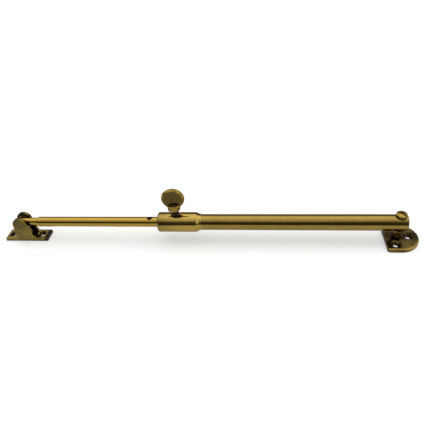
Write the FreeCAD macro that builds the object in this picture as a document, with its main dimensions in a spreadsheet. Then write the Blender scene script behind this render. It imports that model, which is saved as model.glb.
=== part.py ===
import FreeCAD, Part
import math
import os
import Sketcher

# Telescopic casement stay.  Millimetres, +Z up.
# Row frame: origin on the pivot axis at the seating face of the frame plate,
# the tube runs towards -X, the front of the stay faces -Y.

SIZES = {
    # whole stay
    "axis_height": 16.0,
    "run_gap": 0.05,
    # countersunk screw holes, the same in both plates
    "plate_thick": 3.0,
    "screw_hole_dia": 3.6,
    "screw_sink_dia": 7.0,
    "sink_angle": 90,
    # frame plate, a disc with one straight edge
    "frame_plate_radius": 15.0,
    "frame_plate_shift": 0.8,
    "frame_plate_flat": 8.8,
    "frame_plate_round": 1.2,
    "frame_plate_corner": 1.7,
    "frame_hole_back": 2.4,
    "frame_hole_side": 9.0,
    "frame_hole_nose": 8.4,
    # pivot
    "post_tail_sink": 0.9,
    "post_journal_dia": 5.0,
    "post_shoulder_dia": 7.0,
    "post_shoulder_top": 9.5,
    "post_top": 20.8,
    "post_edge": 0.3,
    "pivot_thread_dia": 3.0,
    "pivot_thread_depth": 7.5,
    "pivot_screw_reach": 6.5,
    "pivot_head_dia": 7.8,
    "pivot_head_base": 20.9,
    "pivot_neck_dia": 6.8,
    "pivot_neck_rise": 1.5,
    "pivot_head_side": 1.7,
    "pivot_dome_rise": 0.5,
    "pivot_slot_width": 1.3,
    "pivot_slot_depth": 1.0,
    "pivot_slot_turn": 130,
    "pivot_head_round": 0.6,
    "low_washer_dia": 8.6,
    "low_washer_thick": 0.8,
    "top_washer_dia": 7.0,
    "top_washer_thick": 0.4,
    "spring_washer_dia": 6.8,
    "spring_washer_thick": 0.5,
    # outer tube and its end plug
    "tube_dia": 12.4,
    "tube_bore": 9.6,
    "tube_left": 157.0,
    "tube_right": 5.0,
    "tube_edge": 0.9,
    "tube_sink_dia": 7.5,
    "tube_sink_floor": 3.9,
    "tube_foot_floor": 5.6,
    "tube_foot_dia": 9.2,
    "plug_left": 8.6,
    "plug_recess": 0.25,
    # lock collar
    "collar_dia": 15.7,
    "collar_left": 180.0,
    "collar_length": 34.4,
    "collar_shoulder": 30.2,
    "collar_cone_end": 33.0,
    "collar_lip_dia": 12.6,
    "collar_mouth_round": 1.8,
    "collar_shoulder_round": 5.0,
    "collar_neck_round": 5.0,
    "collar_bush_seat": 8.0,
    "collar_bush_dia": 10.4,
    "collar_rod_bore": 8.6,
    "collar_tube_seat": 23.0,
    "lock_from_mouth": 14.2,
    "lock_hole_dia": 6.1,
    "mouth_bush_recess": 0.3,
    "stop_bush_length": 8.0,
    # sliding rod
    "rod_dia": 8.0,
    "pin_station": 292.8,
    "neck_dia": 6.4,
    "tongue_end": 7.8,
    "tongue_thick": 4.4,
    "tongue_bevel": 0.6,
    "neck_end": 13.7,
    "rod_start": 14.5,
    "dimple_at": 106.2,
    "dimple_dia": 4.2,
    "dimple_floor": 1.2,
    "rod_shoulder": 182.3,
    "rod_end": 193.3,
    "rod_edge": 0.4,
    "spigot_dia": 6.0,
    "groove_start": 191.0,
    "groove_end": 191.9,
    "groove_dia": 4.8,
    "sleeve_dia": 9.5,
    "sleeve_gap": 0.2,
    "sleeve_length": 7.6,
    "sleeve_waist_dia": 8.7,
    "sleeve_land": 2.0,
    "thrust_start": 190.2,
    "thrust_thick": 0.7,
    "thrust_dia": 8.6,
    "clip_dia": 8.2,
    "clip_mouth": 3.6,
    "clip_gap": 0.05,
    # sash bracket and its pin
    "sash_length": 35.7,
    "sash_shift": 0.65,
    "sash_plate_round": 0.8,
    "sash_width": 11.4,
    "sash_hole_pitch": 24,
    "cheek_radius": 6.0,
    "cheek_foot_reach": 7.7,
    "cheek_foot_round": 0.8,
    "cheek_gap": 5.9,
    "pin_dia": 4.0,
    "pin_dome": 0.08,
    "pin_dome_dia": 3.2,
    "fork_washer_dia": 7.6,
    "fork_washer_thick": 0.6,
    # thumbscrew and the pad under it
    "lock_station": 165.8,
    "pad_dia": 5.6,
    "pad_base": 4.05,
    "pad_thick": 1.6,
    "pad_edge": 0.3,
    "stud_dia": 6.0,
    "stud_base": 5.7,
    "stud_top": 15.2,
    "stud_edge": 0.7,
    "boss_base": 12.6,
    "boss_top": 17.5,
    "boss_base_dia": 9.6,
    "boss_top_dia": 10.6,
    "boss_edge": 0.45,
    "boss_dome": 1.1,
    "disc_dia": 17.4,
    "disc_thick": 3.6,
    "disc_centre": 22.4,
    "disc_bevel": 1.3,
    "disc_rim_round": 0.35,
    "knob_turn": 5,
}

SHEET = "Sizes"
FULL_TURN = 360
ALONG_X = FreeCAD.Rotation(FreeCAD.Vector(0, 1, 0), 90)
PLANE_AXES = {"XY_Plane": (0, 1), "XZ_Plane": (0, 2), "YZ_Plane": (1, 2)}


class Dim:
    """A size that carries both its number and the sheet expression behind it."""

    def __init__(self, value, text):
        self.value = value
        self.text = text

    @staticmethod
    def of(item):
        if isinstance(item, Dim):
            return item
        return Dim(float(item), str(item))

    def join(self, other, sign, value):
        return Dim(value, "(%s %s %s)" % (self.text, sign, other.text))

    def __add__(self, other):
        other = Dim.of(other)
        return self.join(other, "+", self.value + other.value)

    def __sub__(self, other):
        other = Dim.of(other)
        return self.join(other, "-", self.value - other.value)

    def __mul__(self, other):
        other = Dim.of(other)
        return self.join(other, "*", self.value * other.value)

    def __truediv__(self, other):
        other = Dim.of(other)
        return self.join(other, "/", self.value / other.value)


ZERO = Dim.of(0)


def size(name):
    return Dim(float(SIZES[name]), "%s.%s" % (SHEET, name))


def radius(name):
    return size(name) / 2


def bind(obj, prop, dim):
    obj.setExpression(prop, Dim.of(dim).text)


def make_sheet(doc):
    sheet = doc.addObject("Spreadsheet::Sheet", SHEET)
    for row, (name, value) in enumerate(SIZES.items(), start=1):
        sheet.set("A%d" % row, name)
        sheet.set("B%d" % row, str(value))
        sheet.setAlias("B%d" % row, name)
    doc.recompute()
    return sheet


# ---------------------------------------------------------------- bodies

def new_body(doc, name):
    body = doc.addObject("PartDesign::Body", name)
    body.Label = name
    return body


def place(obj, x=ZERO, y=ZERO, z=ZERO, turn=ZERO):
    """Bind the position, and a turn about +Z, of a finished sub-part."""
    obj.Placement = FreeCAD.Placement(FreeCAD.Vector(0, 0, 0), FreeCAD.Rotation(FreeCAD.Vector(0, 0, 1), 0))
    for axis, dim in (("x", x), ("y", y), ("z", z)):
        bind(obj, "Placement.Base.%s" % axis, dim)
    if Dim.of(turn).value:
        obj.Placement.Rotation = FreeCAD.Rotation(FreeCAD.Vector(0, 0, 1), Dim.of(turn).value)
        bind(obj, "Placement.Rotation.Angle", turn)


def new_sketch(body, role, name, lift=ZERO):
    """A sketch on one of the body's own origin planes, raised along its normal."""
    sketch = body.newObject("Sketcher::SketchObject", name)
    plane = [item for item in body.Origin.OriginFeatures if item.Role == role][0]
    sketch.AttachmentSupport = [(plane, "")]
    sketch.MapMode = "FlatFace"
    if Dim.of(lift).text != ZERO.text:
        bind(sketch, "AttachmentOffset.Base.z", lift)
    return sketch


def pin_point(sketch, geo, pos, u, v):
    """Hold one sketch point at sheet-driven distances from the sketch origin."""
    for kind, dim, axis in (("DistanceX", u, -2), ("DistanceY", v, -1)):
        if abs(dim.value) < 1e-9:
            sketch.addConstraint(Sketcher.Constraint("PointOnObject", geo, pos, axis))
            continue
        index = sketch.addConstraint(Sketcher.Constraint(kind, -1, 1, geo, pos, dim.value))
        sketch.setExpression("Constraints[%d]" % index, dim.text)


def outline(sketch, corners):
    """A closed outline of straight edges through (u, v) corners."""
    corners = [(Dim.of(u), Dim.of(v)) for u, v in corners]
    points = [FreeCAD.Vector(u.value, v.value, 0) for u, v in corners]
    count = len(points)
    first = sketch.GeometryCount
    for i in range(count):
        sketch.addGeometry(Part.LineSegment(points[i], points[(i + 1) % count]), False)
    for i in range(count):
        nxt = first + (i + 1) % count
        sketch.addConstraint(Sketcher.Constraint("Coincident", first + i, 2, nxt, 1))
    for i, (u, v) in enumerate(corners):
        pin_point(sketch, first + i, 1, u, v)
    return first


def circle(sketch, dia, u=ZERO, v=ZERO):
    dia, u, v = Dim.of(dia), Dim.of(u), Dim.of(v)
    round_edge = Part.Circle(FreeCAD.Vector(u.value, v.value, 0), FreeCAD.Vector(0, 0, 1), dia.value / 2)
    geo = sketch.addGeometry(round_edge, False)
    pin_point(sketch, geo, 3, u, v)
    index = sketch.addConstraint(Sketcher.Constraint("Diameter", geo, dia.value))
    sketch.setExpression("Constraints[%d]" % index, dia.text)
    return geo


def box_outline(sketch, u0, u1, v0, v1):
    outline(sketch, [(u0, v0), (u1, v0), (u1, v1), (u0, v1)])


def turned(body, role, axis, corners, name="Turned"):
    """A revolved body: corners are (u, v) in the sketch plane."""
    sketch = new_sketch(body, role, name + "Profile")
    outline(sketch, corners)
    revolve = body.newObject("PartDesign::Revolution", name)
    revolve.Profile = sketch
    revolve.ReferenceAxis = (sketch, [axis])
    revolve.Angle = FULL_TURN
    body.Document.recompute()
    return revolve


def pad(body, sketch, length, name, symmetric=False):
    feature = body.newObject("PartDesign::Pad", name)
    feature.Profile = sketch
    bind(feature, "Length", length)
    feature.Midplane = symmetric
    body.Document.recompute()
    return feature


def pocket(body, sketch, name, depth=None, symmetric=False, reverse=False):
    """Cut a sketch through the body, or to a depth along minus its normal."""
    before = body.Shape.Volume
    feature = body.newObject("PartDesign::Pocket", name)
    feature.Profile = sketch
    if depth is None:
        feature.Type = "ThroughAll"
        feature.Midplane = symmetric
    else:
        bind(feature, "Length", depth)
        feature.Midplane = symmetric
    feature.Reversed = reverse
    body.Document.recompute()
    if not body.Shape.Volume < before:
        raise RuntimeError("%s in %s removes nothing" % (name, body.Label))
    return feature


def edges_where(shape, test):
    return ["Edge%d" % (i + 1) for i, edge in enumerate(shape.Edges) if test(edge)]


def dress(body, kind, amount, name, test):
    """Fillet or chamfer every edge of the body's tip that passes the test."""
    base = body.Tip
    names = edges_where(base.Shape, test)
    if not names:
        raise RuntimeError("%s in %s finds no edge" % (name, body.Label))
    feature = body.newObject("PartDesign::" + kind, name)
    feature.Base = (base, names)
    bind(feature, "Radius" if kind == "Fillet" else "Size", amount)
    body.Document.recompute()
    return feature


def is_ring(edge, dia, **at):
    """True for a circular edge of a diameter whose centre lies at the named ordinates."""
    curve = edge.Curve
    if not isinstance(curve, Part.Circle):
        return False
    if abs(2 * curve.Radius - dia) > 0.01:
        return False
    centre = curve.Center
    return all(abs(getattr(centre, axis) - value) < 0.01 for axis, value in at.items())


def all_at(edge, axis, value):
    return all(abs(getattr(vertex.Point, axis) - value) < 0.01 for vertex in edge.Vertexes)


def sunk_holes(body, sketch, name="ScrewHoles"):
    """Countersunk clearance holes through a plate from its upper face."""
    hole = body.newObject("PartDesign::Hole", name)
    hole.Profile = sketch
    hole.Threaded = False
    hole.ThreadType = "None"
    bind(hole, "Diameter", size("screw_hole_dia"))
    hole.DepthType = "ThroughAll"
    hole.HoleCutType = "Countersink"
    hole.HoleCutCustomValues = True
    bind(hole, "HoleCutDiameter", size("screw_sink_dia"))
    bind(hole, "HoleCutCountersinkAngle", size("sink_angle"))
    body.Document.recompute()
    return hole


def washer(doc, name, outer, bore, thick, centre, axis_rotation=None):
    """A flat ring: a cylinder less a smaller one."""
    ring = []
    for part_name, dia in (("Outer", outer), ("Bore", bore)):
        cylinder = doc.addObject("Part::Cylinder", name + part_name)
        bind(cylinder, "Radius", Dim.of(dia) / 2)
        bind(cylinder, "Height", thick)
        ring.append(cylinder)
    cut = doc.addObject("Part::Cut", name)
    cut.Base, cut.Tool = ring
    cut.Label = name
    if axis_rotation is not None:
        cut.Placement.Rotation = axis_rotation
    for axis, dim in zip("xyz", centre):
        bind(cut, "Placement.Base.%s" % axis, dim)
    doc.recompute()
    return cut


# ------------------------------------------------------- frame side, fixed

def is_corner(edge, x):
    """True for a plate's upright edge that stands at x."""
    heights = [vertex.Point.z for vertex in edge.Vertexes]
    return all_at(edge, "x", x) and max(heights) - min(heights) > 0.01


def frame_plate(doc):
    """D-shaped screw plate: a half round with short straight sides."""
    body = new_body(doc, "frame_plate")
    round_sketch = new_sketch(body, "XY_Plane", "RoundOutline")
    circle(round_sketch, size("frame_plate_radius") * 2, size("frame_plate_shift"), ZERO)
    pad(body, round_sketch, size("plate_thick"), "Plate")
    flat_sketch = new_sketch(body, "XY_Plane", "StraightEdge", size("plate_thick"))
    reach = size("frame_plate_radius") * 2
    box_outline(flat_sketch, ZERO - reach, ZERO - size("frame_plate_flat"), ZERO - reach, reach)
    pocket(body, flat_sketch, "StraightCut")
    sides = new_sketch(body, "XY_Plane", "StraightSides")
    box_outline(sides, ZERO - size("frame_plate_flat"), size("frame_plate_shift"),
                ZERO - size("frame_plate_radius"), size("frame_plate_radius"))
    pad(body, sides, size("plate_thick"), "SquareBack")
    top, back = SIZES["plate_thick"], SIZES["frame_plate_flat"]
    dress(body, "Fillet", size("frame_plate_corner"), "CornerRound", lambda edge: is_corner(edge, -back))
    dress(body, "Fillet", size("frame_plate_round"), "TopEdge", lambda edge: all_at(edge, "z", top))
    post_hole = new_sketch(body, "XY_Plane", "PostHole", size("plate_thick"))
    circle(post_hole, size("post_journal_dia"))
    pocket(body, post_hole, "PostBore")
    underside = SIZES["post_journal_dia"]
    dress(body, "Chamfer", size("post_tail_sink"), "TailSink",
          lambda edge: is_ring(edge, underside, z=0))
    screws = new_sketch(body, "XY_Plane", "ScrewCentres", size("plate_thick"))
    for u, v in ((ZERO - size("frame_hole_back"), ZERO - size("frame_hole_side")),
                 (ZERO - size("frame_hole_back"), size("frame_hole_side")),
                 (size("frame_hole_nose"), ZERO)):
        circle(screws, size("screw_hole_dia"), u, v)
    sunk_holes(body, screws)
    place(body)
    return body


def pivot_post(doc):
    """Shouldered stud: its lower end is spread into a countersink under the plate."""
    body = new_body(doc, "pivot_post")
    journal = radius("post_journal_dia")
    corners = [
        (ZERO, ZERO),
        (journal + size("post_tail_sink"), ZERO),
        (journal, size("post_tail_sink")),
        (journal, size("plate_thick")),
        (radius("post_shoulder_dia"), size("plate_thick")),
        (radius("post_shoulder_dia"), size("post_shoulder_top")),
        (journal, size("post_shoulder_top")),
        (journal, size("post_top") - size("post_edge")),
        (journal - size("post_edge"), size("post_top")),
        (radius("pivot_thread_dia"), size("post_top")),
        (radius("pivot_thread_dia"), size("post_top") - size("pivot_thread_depth")),
        (ZERO, size("post_top") - size("pivot_thread_depth")),
    ]
    turned(body, "XZ_Plane", "V_Axis", corners)
    place(body)
    return body


def pivot_screw(doc):
    """Low domed head and its neck over a plain shank that stands for its thread."""
    body = new_body(doc, "pivot_screw")
    head, neck = radius("pivot_head_dia"), radius("pivot_neck_dia")
    underside = size("pivot_neck_rise")
    side = underside + size("pivot_head_side")
    rise = size("pivot_dome_rise")
    corners = [
        (ZERO, ZERO - size("pivot_screw_reach")),
        (radius("pivot_thread_dia"), ZERO - size("pivot_screw_reach")),
        (radius("pivot_thread_dia"), ZERO),
        (neck, ZERO),
        (neck, underside),
        (head, underside),
        (head, side),
        (ZERO, side + rise),
    ]
    turned(body, "XZ_Plane", "V_Axis", corners)
    head_dia, brim = SIZES["pivot_head_dia"], side.value
    dress(body, "Fillet", size("pivot_head_round"), "HeadRound",
          lambda edge: is_ring(edge, head_dia, z=brim))
    slot = new_sketch(body, "XY_Plane", "SlotOutline", side + rise)
    half = size("pivot_slot_width") / 2
    box_outline(slot, ZERO - head, head, ZERO - half, half)
    pocket(body, slot, "DriverSlot", depth=size("pivot_slot_depth"))
    place(body, z=size("pivot_head_base"), turn=size("pivot_slot_turn"))
    return body


def frame_washers(doc):
    bore = size("post_journal_dia")
    low = washer(doc, "pivot_washer_lower", size("low_washer_dia"), bore, size("low_washer_thick"),
                 (ZERO, ZERO, size("post_shoulder_top")))
    spring_base = size("pivot_head_base") - size("spring_washer_thick")
    top = washer(doc, "pivot_washer_upper", size("top_washer_dia"), bore, size("top_washer_thick"),
                 (ZERO, ZERO, spring_base - size("top_washer_thick")))
    spring = washer(doc, "pivot_spring_washer", size("spring_washer_dia"), bore,
                    size("spring_washer_thick"), (ZERO, ZERO, spring_base))
    return [low, top, spring]


# ------------------------------------------------------------ outer tube

def pivot_cuts(body, foot):
    """The seat for the pivot head, the journal hole and, on the tube, the flat foot."""
    above = size("tube_dia")
    seat = new_sketch(body, "XY_Plane", "HeadSeat", above)
    circle(seat, size("tube_sink_dia"))
    pocket(body, seat, "HeadSeatCut", depth=above - size("tube_sink_floor"))
    hole = new_sketch(body, "XY_Plane", "JournalHole", above)
    circle(hole, size("post_journal_dia") + size("run_gap") * 2)
    pocket(body, hole, "JournalBore")
    if foot:
        flat = new_sketch(body, "XY_Plane", "FootFlat", ZERO - above)
        circle(flat, size("tube_foot_dia"))
        pocket(body, flat, "FootCut", depth=above - size("tube_foot_floor"), reverse=True)


def outer_tube(doc):
    body = new_body(doc, "outer_tube")
    start = size("tube_left")
    section = new_sketch(body, "YZ_Plane", "TubeSection", ZERO - start)
    circle(section, size("tube_dia"))
    circle(section, size("tube_bore"))
    pad(body, section, start + size("tube_right"), "TubeWall")
    dia, end = SIZES["tube_dia"], SIZES["tube_right"]
    dress(body, "Fillet", size("tube_edge"), "EndRound", lambda edge: is_ring(edge, dia, x=end))
    pivot_cuts(body, foot=True)
    place(body, z=size("axis_height"))
    return body


def tube_end_plug(doc):
    body = new_body(doc, "tube_end_plug")
    section = new_sketch(body, "YZ_Plane", "PlugSection", ZERO - size("plug_left"))
    circle(section, size("tube_bore"))
    length = size("plug_left") + size("tube_right") - size("plug_recess")
    pad(body, section, length, "Plug")
    pivot_cuts(body, foot=False)
    place(body, z=size("axis_height"))
    return body


def lock_collar(doc):
    """Turned collar that carries the thumbscrew; the tube is fixed in its right end."""
    body = new_body(doc, "lock_collar")
    outer = radius("collar_dia")
    corners = [
        (ZERO, radius("collar_bush_dia")),
        (ZERO, outer),
        (size("collar_shoulder"), outer),
        (size("collar_cone_end"), radius("collar_lip_dia")),
        (size("collar_length"), radius("collar_lip_dia")),
        (size("collar_length"), radius("tube_dia")),
        (size("collar_tube_seat"), radius("tube_dia")),
        (size("collar_tube_seat"), radius("collar_rod_bore")),
        (size("collar_bush_seat"), radius("collar_rod_bore")),
        (size("collar_bush_seat"), radius("collar_bush_dia")),
    ]
    turned(body, "XY_Plane", "H_Axis", corners)
    rings = (
        ("MouthRound", "collar_mouth_round", SIZES["collar_dia"], 0),
        ("ShoulderRound", "collar_shoulder_round", SIZES["collar_dia"], SIZES["collar_shoulder"]),
        ("NeckRound", "collar_neck_round", SIZES["collar_lip_dia"], SIZES["collar_cone_end"]),
    )
    for name, amount, dia, station in rings:
        dress(body, "Fillet", size(amount), name,
              lambda edge, dia=dia, station=station: is_ring(edge, dia, x=station))
    hole = new_sketch(body, "XY_Plane", "LockHole", size("collar_dia"))
    circle(hole, size("lock_hole_dia"), size("lock_from_mouth"), ZERO)
    pocket(body, hole, "LockBore", depth=size("collar_dia"))
    place(body, x=ZERO - size("collar_left"), z=size("axis_height"))
    return body


def guide_bushes(doc):
    """The bush at the collar's mouth and the one behind it that also stops the sleeve."""
    bore = size("rod_dia") + size("run_gap") * 2
    mouth_left = ZERO - size("collar_left") + size("mouth_bush_recess")
    mouth = washer(doc, "mouth_bush", size("collar_bush_dia"), bore,
                   size("collar_bush_seat") - size("mouth_bush_recess"),
                   (mouth_left, ZERO, size("axis_height")), ALONG_X)
    stop = washer(doc, "stop_bush", size("tube_bore"), bore, size("stop_bush_length"),
                  (ZERO - size("tube_left"), ZERO, size("axis_height")), ALONG_X)
    return [mouth, stop]


# ----------------------------------------------------------- sliding rod

def inner_rod(doc):
    """Round rod; its left end is turned down, milled flat and rounded for the fork."""
    body = new_body(doc, "inner_rod")
    neck, rod = radius("neck_dia"), radius("rod_dia")
    spigot, groove = radius("spigot_dia"), radius("groove_dia")
    corners = [
        (ZERO - neck, ZERO),
        (ZERO - neck, neck),
        (size("neck_end"), neck),
        (size("rod_start"), rod),
        (size("rod_shoulder"), rod),
        (size("rod_shoulder"), spigot),
        (size("groove_start"), spigot),
        (size("groove_start"), groove),
        (size("groove_end"), groove),
        (size("groove_end"), spigot),
        (size("rod_end") - size("rod_edge"), spigot),
        (size("rod_end"), spigot - size("rod_edge")),
        (size("rod_end"), ZERO),
    ]
    turned(body, "XY_Plane", "H_Axis", corners)
    flats = new_sketch(body, "XY_Plane", "TongueFlats", size("rod_dia"))
    half, clear = size("tongue_thick") / 2, size("rod_dia")
    flat_end, bevel_end = size("tongue_end") - size("tongue_bevel"), size("tongue_end")
    for side in (1, -1):
        outline(flats, [
            (ZERO - clear, half * side),
            (flat_end, half * side),
            (bevel_end, neck * side),
            (bevel_end, clear * side),
            (ZERO - clear, clear * side),
        ])
    pocket(body, flats, "TongueMilling")
    round_tongue(body, neck)
    pin_hole = new_sketch(body, "XZ_Plane", "PinHole")
    circle(pin_hole, size("pin_dia") + size("run_gap") * 2)
    pocket(body, pin_hole, "PinBore", symmetric=True)
    dimple(body)
    place(body, x=ZERO - size("pin_station"), z=size("axis_height"))
    return body


def round_tongue(body, neck):
    """Round the tongue's end about the pin: cut what lies outside a half circle."""
    sketch = new_sketch(body, "XZ_Plane", "TongueEnd")
    reach = size("rod_dia")
    r, far = neck.value, reach.value
    points = [(0, r), (0, far), (-far, far), (-far, -far), (0, -far), (0, -r)]
    for (u0, v0), (u1, v1) in zip(points, points[1:]):
        start, end = FreeCAD.Vector(u0, v0, 0), FreeCAD.Vector(u1, v1, 0)
        sketch.addGeometry(Part.LineSegment(start, end), False)
    half_circle = Part.ArcOfCircle(Part.Circle(FreeCAD.Vector(0, 0, 0), FreeCAD.Vector(0, 0, 1), r),
                                   math.pi / 2, 3 * math.pi / 2)
    arc = sketch.addGeometry(half_circle, False)
    for line in range(arc - 1):
        sketch.addConstraint(Sketcher.Constraint("Coincident", line, 2, line + 1, 1))
    sketch.addConstraint(Sketcher.Constraint("PointOnObject", arc, 3, -2))
    sketch.addConstraint(Sketcher.Constraint("Coincident", 0, 1, arc, 1))
    sketch.addConstraint(Sketcher.Constraint("Coincident", arc - 1, 2, arc, 2))
    for line, pos, u, v in ((0, 1, ZERO, neck), (1, 1, ZERO, reach), (2, 1, ZERO - reach, reach),
                            (3, 1, ZERO - reach, ZERO - reach), (4, 1, ZERO, ZERO - reach),
                            (4, 2, ZERO, ZERO - neck)):
        pin_point(sketch, line, pos, u, v)
    pocket(body, sketch, "TongueRound", symmetric=True)


def dimple(body):
    """Drilled recess in the rod's top that the thumbscrew can drop into."""
    sketch = new_sketch(body, "XY_Plane", "DimpleOutline", size("rod_dia"))
    circle(sketch, size("dimple_dia"), size("dimple_at"), ZERO)
    pocket(body, sketch, "Dimple", depth=size("rod_dia") - size("dimple_floor"))


def rod_guide_sleeve(doc):
    """Waisted sleeve that centres the rod's inner end in the tube."""
    body = new_body(doc, "rod_guide_sleeve")
    bore = radius("spigot_dia") + size("run_gap")
    outer, waist = radius("sleeve_dia"), radius("sleeve_waist_dia")
    length, land = size("sleeve_length"), size("sleeve_land")
    step = outer - waist
    corners = [
        (ZERO, bore),
        (ZERO, outer),
        (land, outer),
        (land + step, waist),
        (length - land - step, waist),
        (length - land, outer),
        (length, outer),
        (length, bore),
    ]
    turned(body, "XY_Plane", "H_Axis", corners)
    start = size("rod_shoulder") + size("sleeve_gap") - size("pin_station")
    place(body, x=start, z=size("axis_height"))
    return body


def rod_thrust_washer(doc):
    start = size("thrust_start") - size("pin_station")
    return washer(doc, "rod_thrust_washer", size("thrust_dia"), size("spigot_dia") + size("run_gap") * 2,
                  size("thrust_thick"), (start, ZERO, size("axis_height")), ALONG_X)


def rod_end_clip(doc):
    """Open snap ring in the groove at the rod's inner end; its mouth faces down."""
    body = new_body(doc, "rod_end_clip")
    section = new_sketch(body, "YZ_Plane", "RingSection")
    circle(section, size("clip_dia"))
    circle(section, size("groove_dia"))
    width = size("groove_end") - size("groove_start") - size("clip_gap") * 2
    pad(body, section, width, "Ring")
    mouth = new_sketch(body, "YZ_Plane", "RingMouth", size("clip_dia"))
    half = size("clip_mouth") / 2
    box_outline(mouth, ZERO - half, half, ZERO - size("clip_dia"), ZERO - size("run_gap"))
    pocket(body, mouth, "MouthCut")
    start = size("groove_start") + size("clip_gap") - size("pin_station")
    place(body, x=start, z=size("axis_height"))
    return body


# ---------------------------------------------------------- sash bracket

def sash_bracket(doc):
    """Screw plate with two round-topped cheeks that hold the rod's tongue."""
    body = new_body(doc, "sash_bracket")
    half_length, half_width = size("sash_length") / 2, size("sash_width") / 2
    plate = new_sketch(body, "XY_Plane", "PlateOutline")
    shift = size("sash_shift")
    box_outline(plate, shift - half_length, shift + half_length, ZERO - half_width, half_width)
    pad(body, plate, size("plate_thick"), "Plate")
    cheek_outline(body)
    fork_gap(body)
    round_bracket_edges(body)
    pin_hole = new_sketch(body, "XZ_Plane", "PinHole")
    circle(pin_hole, size("pin_dia"), ZERO, size("axis_height"))
    pocket(body, pin_hole, "PinBore", symmetric=True)
    screws = new_sketch(body, "XY_Plane", "ScrewCentres", size("plate_thick"))
    for side in (-1, 1):
        circle(screws, size("screw_hole_dia"), size("sash_hole_pitch") / 2 * side, ZERO)
    sunk_holes(body, screws)
    place(body, x=ZERO - size("pin_station"))
    return body


def head_touch():
    """The point where a line from the cheek's foot touches its round head."""
    head, foot = size("cheek_radius"), size("cheek_foot_reach")
    rise = size("axis_height") - size("plate_thick")
    turn = math.acos(head.value / math.hypot(foot.value, rise.value)) - math.atan2(rise.value, foot.value)
    turn_text = "(acos(%s / hypot(%s; %s)) - atan2(%s; %s))" % (
        head.text, foot.text, rise.text, rise.text, foot.text)
    across = Dim(head.value * math.cos(turn), "%s * cos(%s)" % (head.text, turn_text))
    up = Dim(head.value * math.sin(turn), "%s * sin(%s)" % (head.text, turn_text))
    return across, size("axis_height") + up


def cheek_outline(body):
    """Block of both cheeks: sides that spread from a round head down to the plate."""
    sides = new_sketch(body, "XZ_Plane", "SidesOutline")
    foot, base = size("cheek_foot_reach"), size("plate_thick")
    across, height = head_touch()
    outline(sides, [(ZERO - foot, base), (foot, base), (across, height), (ZERO - across, height)])
    pad(body, sides, size("sash_width"), "SidesBlock", symmetric=True)
    head = new_sketch(body, "XZ_Plane", "HeadOutline")
    circle(head, size("cheek_radius") * 2, ZERO, size("axis_height"))
    pad(body, head, size("sash_width"), "HeadBlock", symmetric=True)


def fork_gap(body):
    sketch = new_sketch(body, "YZ_Plane", "ForkGap")
    half = size("cheek_gap") / 2
    box_outline(sketch, ZERO - half, half, size("plate_thick"), size("axis_height") * 2)
    pocket(body, sketch, "ForkGapCut", symmetric=True)


def round_bracket_edges(body):
    """Round the cheeks' feet, then the plate's rim.

    The rim's round runs on over the tangent edges of the feet, sides and heads.
    """
    top = SIZES["plate_thick"]
    half_width, foot = SIZES["sash_width"] / 2, SIZES["cheek_foot_reach"]
    left = SIZES["sash_shift"] - SIZES["sash_length"] / 2
    right = SIZES["sash_shift"] + SIZES["sash_length"] / 2

    def at_foot(edge):
        return all_at(edge, "z", top) and (all_at(edge, "x", foot) or all_at(edge, "x", -foot))

    def on_plate_rim(edge):
        ends = all_at(edge, "x", left) or all_at(edge, "x", right)
        sides = all_at(edge, "y", half_width) or all_at(edge, "y", -half_width)
        return all_at(edge, "z", top) and (ends or sides)

    dress(body, "Fillet", size("cheek_foot_round"), "FootRound", at_foot)
    dress(body, "Fillet", size("sash_plate_round"), "RimRound", on_plate_rim)


def fork_pin(doc):
    """Pin riveted flush in both cheeks, with slightly domed ends."""
    body = new_body(doc, "fork_pin")
    half = size("sash_width") / 2
    corners = [
        (ZERO, ZERO - half - size("pin_dome")),
        (radius("pin_dome_dia"), ZERO - half - size("pin_dome")),
        (radius("pin_dia"), ZERO - half),
        (radius("pin_dia"), half),
        (radius("pin_dome_dia"), half + size("pin_dome")),
        (ZERO, half + size("pin_dome")),
    ]
    turned(body, "XY_Plane", "V_Axis", corners)
    place(body, x=ZERO - size("pin_station"), z=size("axis_height"))
    return body


def fork_washers(doc):
    """Thin washers against the inside of each cheek."""
    lie_along_y = FreeCAD.Rotation(FreeCAD.Vector(1, 0, 0), -90)
    half_gap, thick = size("cheek_gap") / 2, size("fork_washer_thick")
    made = []
    for name, low in (("fork_washer_front", ZERO - half_gap), ("fork_washer_back", half_gap - thick)):
        centre = (ZERO - size("pin_station"), low, size("axis_height"))
        made.append(washer(doc, name, size("fork_washer_dia"), size("pin_dia"), thick, centre, lie_along_y))
    return made


# ------------------------------------------------------------ thumbscrew

def brake_pad(doc):
    """Pad between the thumbscrew's end and the rod."""
    body = new_body(doc, "brake_pad")
    outer, edge = radius("pad_dia"), size("pad_edge")
    corners = [
        (ZERO, ZERO),
        (outer - edge, ZERO),
        (outer, edge),
        (outer, size("pad_thick")),
        (ZERO, size("pad_thick")),
    ]
    turned(body, "XZ_Plane", "V_Axis", corners)
    place(body, x=ZERO - size("lock_station"), z=size("axis_height") + size("pad_base"))
    return body


def thumbscrew_stud(doc):
    """Plain cylinder at the thread's outside diameter."""
    body = new_body(doc, "thumbscrew_stud")
    outer, edge = radius("stud_dia"), size("stud_edge")
    length = size("stud_top") - size("stud_base")
    corners = [
        (ZERO, ZERO),
        (outer - edge, ZERO),
        (outer, edge),
        (outer, length),
        (ZERO, length),
    ]
    turned(body, "XZ_Plane", "V_Axis", corners)
    place(body, x=ZERO - size("lock_station"), z=size("axis_height") + size("stud_base"))
    return body


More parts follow.
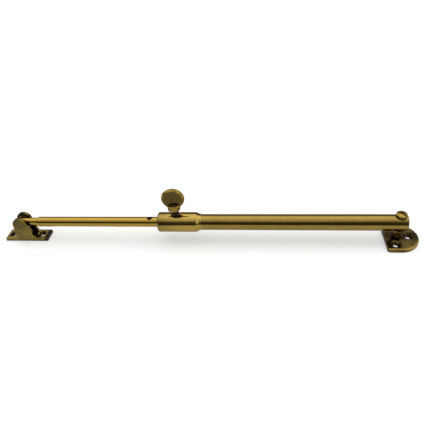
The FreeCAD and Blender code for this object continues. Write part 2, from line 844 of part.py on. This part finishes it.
def thumbscrew_boss(doc):
    """Low crowned cone under the disc, slotted across its top to take the disc's foot."""
    body = new_body(doc, "thumbscrew_boss")
    low, high = radius("boss_base_dia"), radius("boss_top_dia")
    rise, edge = size("boss_top") - size("boss_base"), size("boss_edge")
    crown = rise + size("boss_dome")
    corners = [
        (radius("stud_dia"), ZERO),
        (low - edge, ZERO),
        (low, edge),
        (high, rise - edge),
        (high - edge, rise),
        (ZERO, crown),
        (ZERO, size("stud_top") - size("boss_base")),
        (radius("stud_dia"), size("stud_top") - size("boss_base")),
    ]
    turned(body, "XZ_Plane", "V_Axis", corners)
    slot = new_sketch(body, "XY_Plane", "DiscSlot", crown)
    half, reach = size("disc_thick") / 2, size("boss_top_dia")
    box_outline(slot, ZERO - reach, reach, ZERO - half, half)
    pocket(body, slot, "DiscSlotCut", depth=crown + size("boss_base") - size("stud_top"))
    place(body, x=ZERO - size("lock_station"), z=size("axis_height") + size("boss_base"),
          turn=size("knob_turn"))
    return body


def thumbscrew_disc(doc):
    """Upright disc gripped by finger and thumb, with a bevel round both faces."""
    body = new_body(doc, "thumbscrew_disc")
    outline_sketch = new_sketch(body, "XZ_Plane", "DiscOutline")
    circle(outline_sketch, size("disc_dia"))
    pad(body, outline_sketch, size("disc_thick"), "Disc", symmetric=True)
    rim, bevel = SIZES["disc_dia"], SIZES["disc_bevel"]
    dress(body, "Chamfer", size("disc_bevel"), "RimBevel", lambda edge: is_ring(edge, rim))
    dress(body, "Fillet", size("disc_rim_round"), "RimRound",
          lambda edge: is_ring(edge, rim) or is_ring(edge, rim - 2 * bevel))
    foot = new_sketch(body, "XZ_Plane", "FootOutline")
    half = size("disc_dia") / 2
    flat = size("stud_top") - size("disc_centre")
    box_outline(foot, ZERO - half, half, ZERO - half * 2, flat)
    pocket(body, foot, "FootCut", symmetric=True)
    place(body, x=ZERO - size("lock_station"), z=size("axis_height") + size("disc_centre"),
          turn=size("knob_turn"))
    return body


# ---------------------------------------------------------------- output

def build(doc):
    """Every sub-part, each its own finished document object."""
    made = []
    for maker in (frame_plate, pivot_post, pivot_screw, frame_washers, outer_tube, tube_end_plug,
                  lock_collar, guide_bushes, inner_rod, rod_guide_sleeve, rod_thrust_washer,
                  rod_end_clip, sash_bracket, fork_pin, fork_washers, brake_pad, thumbscrew_stud,
                  thumbscrew_boss, thumbscrew_disc):
        result = maker(doc)
        made.extend(result if isinstance(result, list) else [result])
    doc.recompute()
    return made


def check(doc, parts):
    for obj in doc.Objects:
        if any(flag in obj.State for flag in ("Invalid", "Error")):
            raise RuntimeError("%s is in state %s" % (obj.Name, obj.State))
    for part in parts:
        if part.Shape.isNull() or not part.Shape.isValid():
            raise RuntimeError("%s has no valid shape" % part.Label)


def export(parts):
    os.makedirs("parts", exist_ok=True)
    for part in parts:
        part.Shape.exportStep("parts/%s.step" % part.Label)


document = FreeCAD.newDocument("casement_stay")
make_sheet(document)
sub_parts = build(document)
check(document, sub_parts)
export(sub_parts)
for sub_part in sub_parts:
    box = sub_part.Shape.BoundBox
    print("%-20s %9.2f mm3" % (sub_part.Label, sub_part.Shape.Volume),
          "x %8.2f %8.2f" % (box.XMin, box.XMax),
          "y %7.2f %7.2f" % (box.YMin, box.YMax),
          "z %7.2f %7.2f" % (box.ZMin, box.ZMax))
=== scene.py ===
import math

import bmesh
import bpy
from mathutils import Matrix, Vector


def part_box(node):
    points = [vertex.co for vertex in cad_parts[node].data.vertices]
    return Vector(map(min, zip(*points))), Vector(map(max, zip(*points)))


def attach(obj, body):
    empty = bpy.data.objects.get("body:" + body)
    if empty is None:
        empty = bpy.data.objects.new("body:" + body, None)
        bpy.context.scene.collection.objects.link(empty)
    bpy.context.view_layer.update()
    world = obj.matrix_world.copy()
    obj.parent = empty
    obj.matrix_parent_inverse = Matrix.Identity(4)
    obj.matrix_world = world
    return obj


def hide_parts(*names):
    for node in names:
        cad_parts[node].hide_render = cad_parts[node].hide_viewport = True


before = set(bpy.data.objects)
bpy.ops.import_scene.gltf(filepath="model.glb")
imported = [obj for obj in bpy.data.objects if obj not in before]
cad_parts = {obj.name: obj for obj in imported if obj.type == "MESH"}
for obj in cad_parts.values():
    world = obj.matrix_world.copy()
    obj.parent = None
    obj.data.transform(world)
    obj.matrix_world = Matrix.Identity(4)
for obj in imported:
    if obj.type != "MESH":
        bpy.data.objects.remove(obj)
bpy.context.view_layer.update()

MM = 0.001

# where the screw holes are, and which way the pivot screw's slot points (degrees)
SINK_RADIUS = 3.5 * MM
FRAME_HOLE_BACK, FRAME_HOLE_SIDE, FRAME_HOLE_NOSE = -2.4 * MM, 9.0 * MM, 8.4 * MM
SASH_HOLE_REACH = 12.0 * MM
SLOT_TURN = 130.0

# how fine the surface noises are, in features to the metre
CLOUD_SCALE, GRAIN_SCALE = 140.0, 900.0

# how a brushed finish stretches its grain
LENGTHWISE = (0.03, 1.0, 1.0)
ACROSS = (1.0, 0.15, 1.0)

# the radius of the soft normals that find and round the edges, and how deep the bumps go
EDGE_RADIUS = 0.35 * MM
SCRATCH_DEPTH, WAVE_DEPTH = 0.03 * MM, 0.02 * MM

# an M6 thread: pitch, depth, and how much smaller its ends are
THREAD_PITCH, THREAD_DEPTH, THREAD_LEAD_IN = 1.0 * MM, 0.58 * MM, 0.7 * MM
THREAD_COLUMNS, THREAD_ROWS = 72, 230

# brightness of the studio from the front horizon (0) over the top (0.5) to the back horizon (1)
SKY = (
    (0.00, 0.08), (0.10, 0.08), (0.18, 0.14), (0.25, 0.50), (0.31, 1.15), (0.39, 1.25), (0.45, 1.60),
    (0.50, 2.00), (0.66, 2.05), (0.74, 1.35), (0.80, 0.55), (0.85, 0.12), (0.90, 0.06), (1.00, 0.05),
)
SIDE_WALL = 0.18

# the small softbox: to the front right and 28 degrees up
SOFTBOX = (0.64, -0.54, 0.45)
SOFTBOX_STRENGTH = 1.2

# the floor's size and glow, and where in front of the part it starts and stops turning grey
FLOOR_REACH = 6.0
FLOOR_DROP = 0.00005
FLOOR_GLOW = 0.65
GREY_FROM, GREY_TO = -0.12, -0.60

# the camera: degrees round, up and tilted, and millimetres
CAMERA_TARGET = (-135.26, 0.0, 22.87)
CAMERA_DISTANCE = 313.61
CAMERA_AZIMUTH, CAMERA_ELEVATION, CAMERA_ROLL = 8.532, 38.565, -5.297
CAMERA_LENS, CAMERA_SENSOR = 34.687, 36.0


# ------------------------------------------------------------ node helpers

class Nodes:
    """A short way to add and link shader nodes in one tree."""

    def __init__(self, tree):
        self.tree = tree
        tree.nodes.clear()

    def add(self, kind, inputs=None, **settings):
        node = self.tree.nodes.new(kind)
        for name, value in settings.items():
            setattr(node, name, value)
        for name, value in (inputs or {}).items():
            self.feed(node, name, value)
        return node

    def feed(self, node, name, value):
        socket = node.inputs[name]
        if isinstance(value, bpy.types.NodeSocket):
            self.tree.links.new(value, socket)
        else:
            socket.default_value = value

    def math(self, operation, first, second=0.5, clamp=False):
        node = self.add("ShaderNodeMath", operation=operation, use_clamp=clamp)
        self.feed(node, 0, first)
        self.feed(node, 1, second)
        return node.outputs[0]

    def span(self, value, low, high, to_low=0.0, to_high=1.0):
        node = self.add("ShaderNodeMapRange", {"Value": value, "From Min": low, "From Max": high,
                                               "To Min": to_low, "To Max": to_high})
        return node.outputs[0]

    def blend(self, factor, first, second, mode="MIX"):
        node = self.add("ShaderNodeMix", data_type="RGBA", blend_type=mode)
        self.feed(node, 0, factor)
        self.feed(node, 6, first)
        self.feed(node, 7, second)
        return node.outputs[2]

    def noise(self, coords, scale, detail=3.0, rough=0.5, stretch=(1.0, 1.0, 1.0)):
        mapping = self.add("ShaderNodeMapping", {"Vector": coords, "Scale": stretch})
        node = self.add("ShaderNodeTexNoise", {"Vector": mapping.outputs[0], "Scale": scale,
                                               "Detail": detail, "Roughness": rough})
        return node.outputs[0]


def rgba(color):
    return (color[0], color[1], color[2], 1.0)


def stain_clouds(n, coords, patina):
    """The soft clouds, and how strongly clouds and small specks of patina darken each spot."""
    clouds = n.noise(coords, CLOUD_SCALE, 4.0, 0.6)
    specks = n.noise(coords, GRAIN_SCALE, 3.0, 0.6)
    broad = n.math("MULTIPLY", n.span(clouds, 0.38, 0.66), 0.75)
    fine = n.math("MULTIPLY", n.span(specks, 0.55, 0.75), 0.35)
    return clouds, n.math("MULTIPLY", n.math("ADD", broad, fine), patina, clamp=True)


def sharp_edges(n, soft):
    """1 where the surface turns sharply, from the difference between bevelled and flat normals."""
    flat = n.add("ShaderNodeNewGeometry").outputs["Normal"]
    turn = n.add("ShaderNodeVectorMath", operation="DOT_PRODUCT")
    n.feed(turn, 0, soft)
    n.feed(turn, 1, flat)
    return n.span(turn.outputs["Value"], 0.985, 0.86)


def slanted_faces(n):
    """1 on rounds and bevels, which face none of the part's three axes."""
    normal = n.add("ShaderNodeTexCoord").outputs["Normal"]
    parts = n.add("ShaderNodeSeparateXYZ", {"Vector": normal})
    sizes = [n.math("ABSOLUTE", parts.outputs[axis]) for axis in ("X", "Y", "Z")]
    largest = n.math("MAXIMUM", n.math("MAXIMUM", sizes[0], sizes[1]), sizes[2])
    return n.span(largest, 0.985, 0.88)


def metal(name, bright, dark, rough=0.22, grain=(1.0, 1.0, 1.0), patina=0.5, wear_and_sheen=0.5, coat=0.15,
          rubbed_and_sheen=(0.46, 0.31, 0.06), reach=3.4, slanted=False, patina_and_shade=None):
    """Worn plated metal: patina clouds, fine grain, crevices darkened with patina and painted shade,
    and edges lightened with rubbed wear and a painted highlight.

    reach is how far, in mm, a neighbour darkens a crevice with painted shade and patina; slanted
    lightens every round and bevel with rubbed wear and a painted highlight;
    patina_and_shade darkens chosen spots: patina at the collar's mouth, painted shade in
    countersinks, end faces, the fork, the screw slot and under the tube, and darker disc faces.
    """
    material = bpy.data.materials.new(name)
    material.use_nodes = True
    n = Nodes(material.node_tree)
    coords = n.add("ShaderNodeTexCoord").outputs["Object"]
    clouds, stain = stain_clouds(n, coords, patina)
    lines = n.noise(coords, GRAIN_SCALE, 3.0, 0.7, grain)
    soft = n.add("ShaderNodeBevel", {"Radius": EDGE_RADIUS}, samples=6).outputs[0]

    color = n.blend(stain, rgba(bright), rgba(dark))
    color = n.blend(n.span(lines, 0.3, 0.7, 0.0, 0.22), color, rgba(dark))
    edges = sharp_edges(n, soft)
    # Rounds and bevels take the rubbed colour too: partly wear, partly a painted highlight.
    if slanted:
        edges = n.math("MAXIMUM", edges, slanted_faces(n))
    uneven = n.math("MULTIPLY", edges, n.span(clouds, 0.3, 0.6, wear_and_sheen, wear_and_sheen * 0.45))
    color = n.blend(uneven, color, rgba(rubbed_and_sheen))

    # Painted shade, partly patina: near-black where neighbouring surfaces are close (ambient
    # occlusion) and in the spots that patina_and_shade picks.
    black = rgba([channel * 0.12 for channel in dark])
    crevice_patina_and_shade = n.add("ShaderNodeAmbientOcclusion", {"Distance": reach * MM}, samples=6)
    color = n.blend(n.span(crevice_patina_and_shade.outputs["AO"], 0.22, 0.72, 0.96, 0.0), color, black)
    if patina_and_shade:
        color = n.blend(n.math("MULTIPLY", patina_and_shade(n, coords), 0.9), color, black)

    roughness = n.math("ADD", n.span(clouds, 0.3, 0.7, rough * 0.8, rough * 1.25),
                       n.span(lines, 0.25, 0.75, rough * -0.1, rough * 0.15))
    scratches = n.add("ShaderNodeBump", {"Strength": 0.35, "Distance": SCRATCH_DEPTH,
                                         "Height": lines, "Normal": soft})
    waves = n.add("ShaderNodeBump", {"Strength": 0.25, "Distance": WAVE_DEPTH,
                                     "Height": clouds, "Normal": scratches.outputs[0]})
    shader = n.add("ShaderNodeBsdfPrincipled", {"Base Color": color, "Roughness": roughness,
                                                "Metallic": 1.0, "Coat Weight": coat,
                                                "Coat Roughness": 0.06, "Normal": waves.outputs[0]})
    n.add("ShaderNodeOutputMaterial", {"Surface": shader.outputs[0]})
    return material


# ------------------------------------------------- patina and painted shade

def around_axis(n, coords, centre, across, inner, outer):
    """1 within the inner radius of a line through centre, fading to 0 at the outer radius.

    across is 1 for the two axes square to the line and 0 for the one along it.
    """
    offset = n.add("ShaderNodeVectorMath", operation="SUBTRACT")
    n.feed(offset, 0, coords)
    n.feed(offset, 1, centre)
    flat = n.add("ShaderNodeVectorMath", operation="MULTIPLY")
    n.feed(flat, 0, offset.outputs[0])
    n.feed(flat, 1, across)
    length = n.add("ShaderNodeVectorMath", operation="LENGTH")
    n.feed(length, 0, flat.outputs[0])
    return n.span(length.outputs["Value"], inner, outer, 1.0, 0.0)


def screw_sinks(n, coords, centres):
    """The countersinks round a plate's screw holes, darkened as painted shade."""
    mask = None
    for x, y in centres:
        sink = around_axis(n, coords, (x, y, 0.0), (1.0, 1.0, 0.0),
                           SINK_RADIUS - 0.3 * MM, SINK_RADIUS)
        mask = sink if mask is None else n.math("MAXIMUM", mask, sink)
    return mask


def frame_plate_painted_shade(n, coords):
    """Painted shade on the frame plate: its countersinks, its square end and the strip under the
    tube, where the tube's shade and dark reflection fall.
    """
    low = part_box("frame_plate")[0]
    axes = n.add("ShaderNodeSeparateXYZ", {"Vector": coords})
    end = n.span(axes.outputs["X"], low.x + 0.3 * MM, low.x + 0.9 * MM, 1.0, 0.0)
    away = n.math("ABSOLUTE", axes.outputs["Y"])
    under_tube = n.math("MULTIPLY", n.span(away, 3.0 * MM, 6.0 * MM, 0.85, 0.0),
                        n.span(axes.outputs["Z"], 2.5 * MM, 2.9 * MM))
    end = n.math("MAXIMUM", end, under_tube)
    holes = ((FRAME_HOLE_BACK, -FRAME_HOLE_SIDE), (FRAME_HOLE_BACK, FRAME_HOLE_SIDE),
             (FRAME_HOLE_NOSE, 0.0))
    return n.math("MAXIMUM", end, screw_sinks(n, coords, holes))


def sash_bracket_painted_shade(n, coords):
    """Painted shade on the sash bracket: its countersinks, the fork gap, the cheek heads (darker
    towards their tops) and its end nearest the rod.
    """
    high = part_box("sash_bracket")[1]
    pin_low, pin_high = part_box("fork_pin")
    pin = (pin_low.x + pin_high.x) / 2
    axes = n.add("ShaderNodeSeparateXYZ", {"Vector": coords})
    end = n.span(axes.outputs["X"], high.x - 2.6 * MM, high.x - 1.8 * MM)
    along = n.math("ABSOLUTE", n.math("SUBTRACT", axes.outputs["X"], pin))
    across = n.math("ABSOLUTE", axes.outputs["Y"])
    fork = n.math("MULTIPLY", n.span(along, 7.8 * MM, 8.4 * MM, 1.0, 0.0),
                  n.span(across, 3.0 * MM, 3.3 * MM, 1.0, 0.0))
    head = n.span(axes.outputs["Z"], 7.0 * MM, 17.0 * MM, 0.0, 0.55)
    holes = ((pin - SASH_HOLE_REACH, 0.0), (pin + SASH_HOLE_REACH, 0.0))
    dark = n.math("MAXIMUM", n.math("MAXIMUM", end, fork), head)
    return n.math("MAXIMUM", dark, screw_sinks(n, coords, holes))


def collar_grime(n, coords):
    """The collar darkens a little towards its mouth."""
    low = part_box("lock_collar")[0]
    x = n.add("ShaderNodeSeparateXYZ", {"Vector": coords}).outputs["X"]
    return n.span(x, low.x, low.x + 16.0 * MM, 0.45, 0.0)


def disc_face_darkening(n, coords):
    """Darkens the thumbscrew disc's two faces, inside the bevels."""
    low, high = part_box("thumbscrew_disc")
    middle = (low + high) / 2
    top = high.z - (high.x - low.x) / 2
    faces = around_axis(n, coords, (middle.x, middle.y, top), (1.0, 0.0, 1.0), 6.7 * MM, 7.3 * MM)
    return n.math("MULTIPLY", faces, 0.35)


def pivot_screw_painted_shade(n, coords):
    """Painted shade in the driver slot and at the foot of the pivot screw's head."""
    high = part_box("pivot_screw")[1]
    turn = math.radians(SLOT_TURN)
    axes = n.add("ShaderNodeSeparateXYZ", {"Vector": coords})
    across = n.math("SUBTRACT", n.math("MULTIPLY", axes.outputs["Y"], math.cos(turn)),
                    n.math("MULTIPLY", axes.outputs["X"], math.sin(turn)))
    slot = n.span(n.math("ABSOLUTE", across), 0.66 * MM, 0.72 * MM, 1.0, 0.0)
    foot = n.span(axes.outputs["Z"], high.z - 1.5 * MM, high.z - 0.8 * MM, 1.0, 0.0)
    return n.math("MAXIMUM", slot, foot)


rod_brass = metal("rod_brass", (0.34, 0.225, 0.036), (0.19, 0.12, 0.025), 0.13, LENGTHWISE,
                  patina=0.22, coat=0.1)
tube_brass = metal("tube_brass", (0.25, 0.17, 0.032), (0.13, 0.082, 0.02), 0.1, LENGTHWISE,
                   patina=0.35, coat=0.15)
collar_brass = metal("collar_brass", (0.34, 0.23, 0.038), (0.2, 0.125, 0.026), 0.09, LENGTHWISE,
                     patina=0.25, coat=0.35, patina_and_shade=collar_grime)
# reach=9.0 spreads painted shade over the plate under the tube and round the post.
plate_brass = metal("plate_brass", (0.16, 0.105, 0.024), (0.05, 0.034, 0.014), 0.2, ACROSS,
                    patina=0.8, wear_and_sheen=0.95, coat=0.0, reach=9.0, slanted=True,
                    patina_and_shade=frame_plate_painted_shade)
bracket_brass = metal("bracket_brass", (0.22, 0.155, 0.036), (0.045, 0.034, 0.014), 0.2, ACROSS,
                      patina=0.7, wear_and_sheen=0.85, coat=0.0, slanted=True, patina_and_shade=sash_bracket_painted_shade)
post_brass = metal("post_brass", (0.20, 0.13, 0.03), (0.08, 0.05, 0.016), 0.25, coat=0.0,
                   reach=4.0)
disc_brass = metal("disc_brass", (0.12, 0.088, 0.024), (0.06, 0.046, 0.016), 0.17, wear_and_sheen=0.95,
                   coat=0.0, reach=0.8, slanted=True, patina_and_shade=disc_face_darkening)
boss_brass = metal("boss_brass", (0.28, 0.19, 0.036), (0.12, 0.085, 0.022), 0.22, coat=0.0,
                   reach=0.3)
screw_brass = metal("screw_brass", (0.36, 0.24, 0.04), (0.14, 0.09, 0.02), 0.14, patina=0.35,
                    coat=0.1, reach=1.6, patina_and_shade=pivot_screw_painted_shade)
pin_brass = metal("pin_brass", (0.10, 0.075, 0.024), (0.05, 0.038, 0.016), 0.25, coat=0.0)
# The thread's near-black colour is painted shade: the shank stands in the boss's shadow.
dark_brass = metal("dark_thread", (0.04, 0.03, 0.014), (0.014, 0.011, 0.007), 0.4, wear_and_sheen=0.15)
bronze = metal("bearing_bronze", (0.33, 0.2, 0.08), (0.2, 0.12, 0.05), 0.35)
steel = metal("spring_steel", (0.4, 0.4, 0.41), (0.22, 0.22, 0.23), 0.35)

FINISH = {
    "frame_plate": plate_brass,
    "pivot_post": post_brass,
    "pivot_screw": screw_brass,
    "pivot_washer_lower": bronze,
    "pivot_washer_upper": bronze,
    "pivot_spring_washer": steel,
    "outer_tube": tube_brass,
    "tube_end_plug": tube_brass,
    "lock_collar": collar_brass,
    "mouth_bush": bronze,
    "stop_bush": bronze,
    "inner_rod": rod_brass,
    "rod_guide_sleeve": bronze,
    "rod_thrust_washer": bronze,
    "rod_end_clip": steel,
    "sash_bracket": bracket_brass,
    "fork_pin": pin_brass,
    "fork_washer_front": bronze,
    "fork_washer_back": bronze,
    "brake_pad": bronze,
    "thumbscrew_stud": dark_brass,
    "thumbscrew_boss": boss_brass,
    "thumbscrew_disc": disc_brass,
}
for node_name, material in FINISH.items():
    for material_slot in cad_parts[node_name].material_slots:
        material_slot.material = material


# ------------------------------------------------------------ new pieces

def mesh_piece(name, mesh, material, body, nodes=()):
    """A smooth new piece that rides a body, stands in a slot and replaces CAD nodes."""
    piece = bpy.data.objects.new(name, mesh)
    bpy.context.scene.collection.objects.link(piece)
    mesh.materials.append(material)
    for polygon in mesh.polygons:
        polygon.use_smooth = True
    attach(piece, body)
    if nodes:
        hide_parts(*nodes)
    return piece


def thread_radius(turn, height, length, crest):
    """Radius of the thread at one angle and height: flat crests and roots, chamfered ends."""
    root = crest - THREAD_DEPTH
    phase = (height / THREAD_PITCH - turn) % 1.0
    rise = min(phase, 1.0 - phase) * 2.0
    form = root + (crest - root) * max(0.0, min(1.0, (rise - 0.12) / 0.74))
    taper = min(height, length - height) + crest - THREAD_LEAD_IN
    return min(form, taper)


def threaded_stud():
    """The thumbscrew's M6 thread as a real helix, where the plain CAD stud stands."""
    low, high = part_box("thumbscrew_stud")
    centre = (low + high) / 2
    length, crest = high.z - low.z, (high.x - low.x) / 2
    mesh = bpy.data.meshes.new("thumbscrew_thread")
    bm = bmesh.new()
    rings = []
    for row in range(THREAD_ROWS + 1):
        height = length * row / THREAD_ROWS
        ring = []
        for column in range(THREAD_COLUMNS):
            turn = column / THREAD_COLUMNS
            r = thread_radius(turn, height, length, crest)
            angle = 2 * math.pi * turn
            ring.append(bm.verts.new((centre.x + r * math.cos(angle), centre.y + r * math.sin(angle),
                                      low.z + height)))
        rings.append(ring)
    for below, above in zip(rings, rings[1:]):
        for i in range(THREAD_COLUMNS):
            j = (i + 1) % THREAD_COLUMNS
            bm.faces.new((below[i], below[j], above[j], above[i]))
    bm.faces.new(list(reversed(rings[0])))
    bm.faces.new(rings[-1])
    bm.normal_update()
    bm.to_mesh(mesh)
    bm.free()
    return mesh_piece("thumbscrew_thread", mesh, dark_brass, "thumbscrew",
                      ("thumbscrew_stud",))


threaded_stud()


# ------------------------------------------------------- floor, sky, camera

def floor():
    """A wide pale sheet that glows a little and turns grey well in front of the part."""
    material = bpy.data.materials.new("studio_floor")
    material.use_nodes = True
    n = Nodes(material.node_tree)
    coords = n.add("ShaderNodeTexCoord").outputs["Object"]
    mottle = n.span(n.noise(coords, 6.0, 2.0), 0.3, 0.7)
    color = n.blend(mottle, (0.57, 0.57, 0.56, 1.0), (0.59, 0.59, 0.59, 1.0))
    y = n.add("ShaderNodeSeparateXYZ", {"Vector": coords}).outputs["Y"]
    near = n.span(y, GREY_FROM, GREY_TO)
    color = n.blend(near, color, (0.18, 0.18, 0.18, 1.0))
    shader = n.add("ShaderNodeBsdfPrincipled", {"Base Color": color, "Roughness": 0.9,
                                                "Specular IOR Level": 0.1, "Emission Color": color,
                                                "Emission Strength": FLOOR_GLOW})
    n.add("ShaderNodeOutputMaterial", {"Surface": shader.outputs[0]})
    mesh = bpy.data.meshes.new("studio_floor")
    reach = FLOOR_REACH
    corners = [(-reach, -reach, 0), (reach, -reach, 0), (reach, reach, 0), (-reach, reach, 0)]
    mesh.from_pydata(corners, [], [(0, 1, 2, 3)])
    sheet = bpy.data.objects.new("studio_floor", mesh)
    sheet.location.z = -FLOOR_DROP
    mesh.materials.append(material)
    bpy.context.scene.collection.objects.link(sheet)


def sky():
    """One long soft light overhead, a small one front right, and dim walls, higher on the right."""
    world = bpy.data.worlds.new("studio")
    world.use_nodes = True
    bpy.context.scene.world = world
    n = Nodes(world.node_tree)
    direction = n.add("ShaderNodeTexCoord").outputs["Generated"]
    axes = n.add("ShaderNodeSeparateXYZ", {"Vector": direction})
    front = n.math("MULTIPLY", axes.outputs["Y"], -1.0)
    around = n.math("ARCTAN2", axes.outputs["Z"], front)
    place = n.span(around, 0.0, math.pi)
    rise = n.math("MULTIPLY", n.span(axes.outputs["X"], 0.10, 0.45, 0.0, 0.08),
                  n.span(place, 0.30, 0.50, 1.0, 0.0))
    place = n.math("SUBTRACT", place, rise)
    ramp = n.add("ShaderNodeValToRGB", {"Fac": place})
    ramp.color_ramp.interpolation = "EASE"
    stops = ramp.color_ramp.elements
    while len(stops) > 1:
        stops.remove(stops[-1])
    top = max(level for _, level in SKY)
    for index, (position, level) in enumerate(SKY):
        stop = stops[0] if index == 0 else stops.new(position)
        stop.position = position
        stop.color = (level / top, level / top, level / top, 1.0)
    side = n.span(n.math("ABSOLUTE", axes.outputs["X"]), 0.78, 0.96)
    walls = n.blend(side, ramp.outputs["Color"], (SIDE_WALL, SIDE_WALL, SIDE_WALL, 1.0))
    patch = n.add("ShaderNodeVectorMath", operation="DOT_PRODUCT")
    n.feed(patch, 0, direction)
    n.feed(patch, 1, Vector(SOFTBOX).normalized())
    softbox = n.span(patch.outputs["Value"], 0.90, 0.99, 0.0, SOFTBOX_STRENGTH)
    background = n.add("ShaderNodeBackground", {"Color": walls, "Strength": top})
    box = n.add("ShaderNodeBackground", {"Color": (1.0, 0.96, 0.88, 1.0), "Strength": softbox})
    both = n.add("ShaderNodeAddShader")
    n.feed(both, 0, background.outputs[0])
    n.feed(both, 1, box.outputs[0])
    n.add("ShaderNodeOutputWorld", {"Surface": both.outputs[0]})


def camera():
    """The reference viewing position: a little right of centre and 39 degrees above."""
    azimuth, elevation = math.radians(CAMERA_AZIMUTH), math.radians(CAMERA_ELEVATION)
    roll = math.radians(CAMERA_ROLL)
    back = Vector((math.sin(azimuth) * math.cos(elevation),
                   -math.cos(azimuth) * math.cos(elevation),
                   math.sin(elevation)))
    right = (-back).cross(Vector((0, 0, 1))).normalized()
    up = right.cross(-back)
    right, up = (right * math.cos(roll) + up * math.sin(roll),
                 up * math.cos(roll) - right * math.sin(roll))
    data = bpy.data.cameras.new("camera")
    data.sensor_width = CAMERA_SENSOR
    data.lens = CAMERA_LENS
    data.clip_start = 0.01
    data.clip_end = 20.0
    view = bpy.data.objects.new("camera", data)
    view.matrix_world = Matrix((
        (right.x, up.x, back.x, 0.0),
        (right.y, up.y, back.y, 0.0),
        (right.z, up.z, back.z, 0.0),
        (0.0, 0.0, 0.0, 1.0),
    ))
    view.location = Vector(CAMERA_TARGET) * MM + back * CAMERA_DISTANCE * MM
    bpy.context.scene.collection.objects.link(view)
    bpy.context.scene.camera = view


floor()
sky()
camera()
bpy.context.scene.view_settings.view_transform = "Standard"
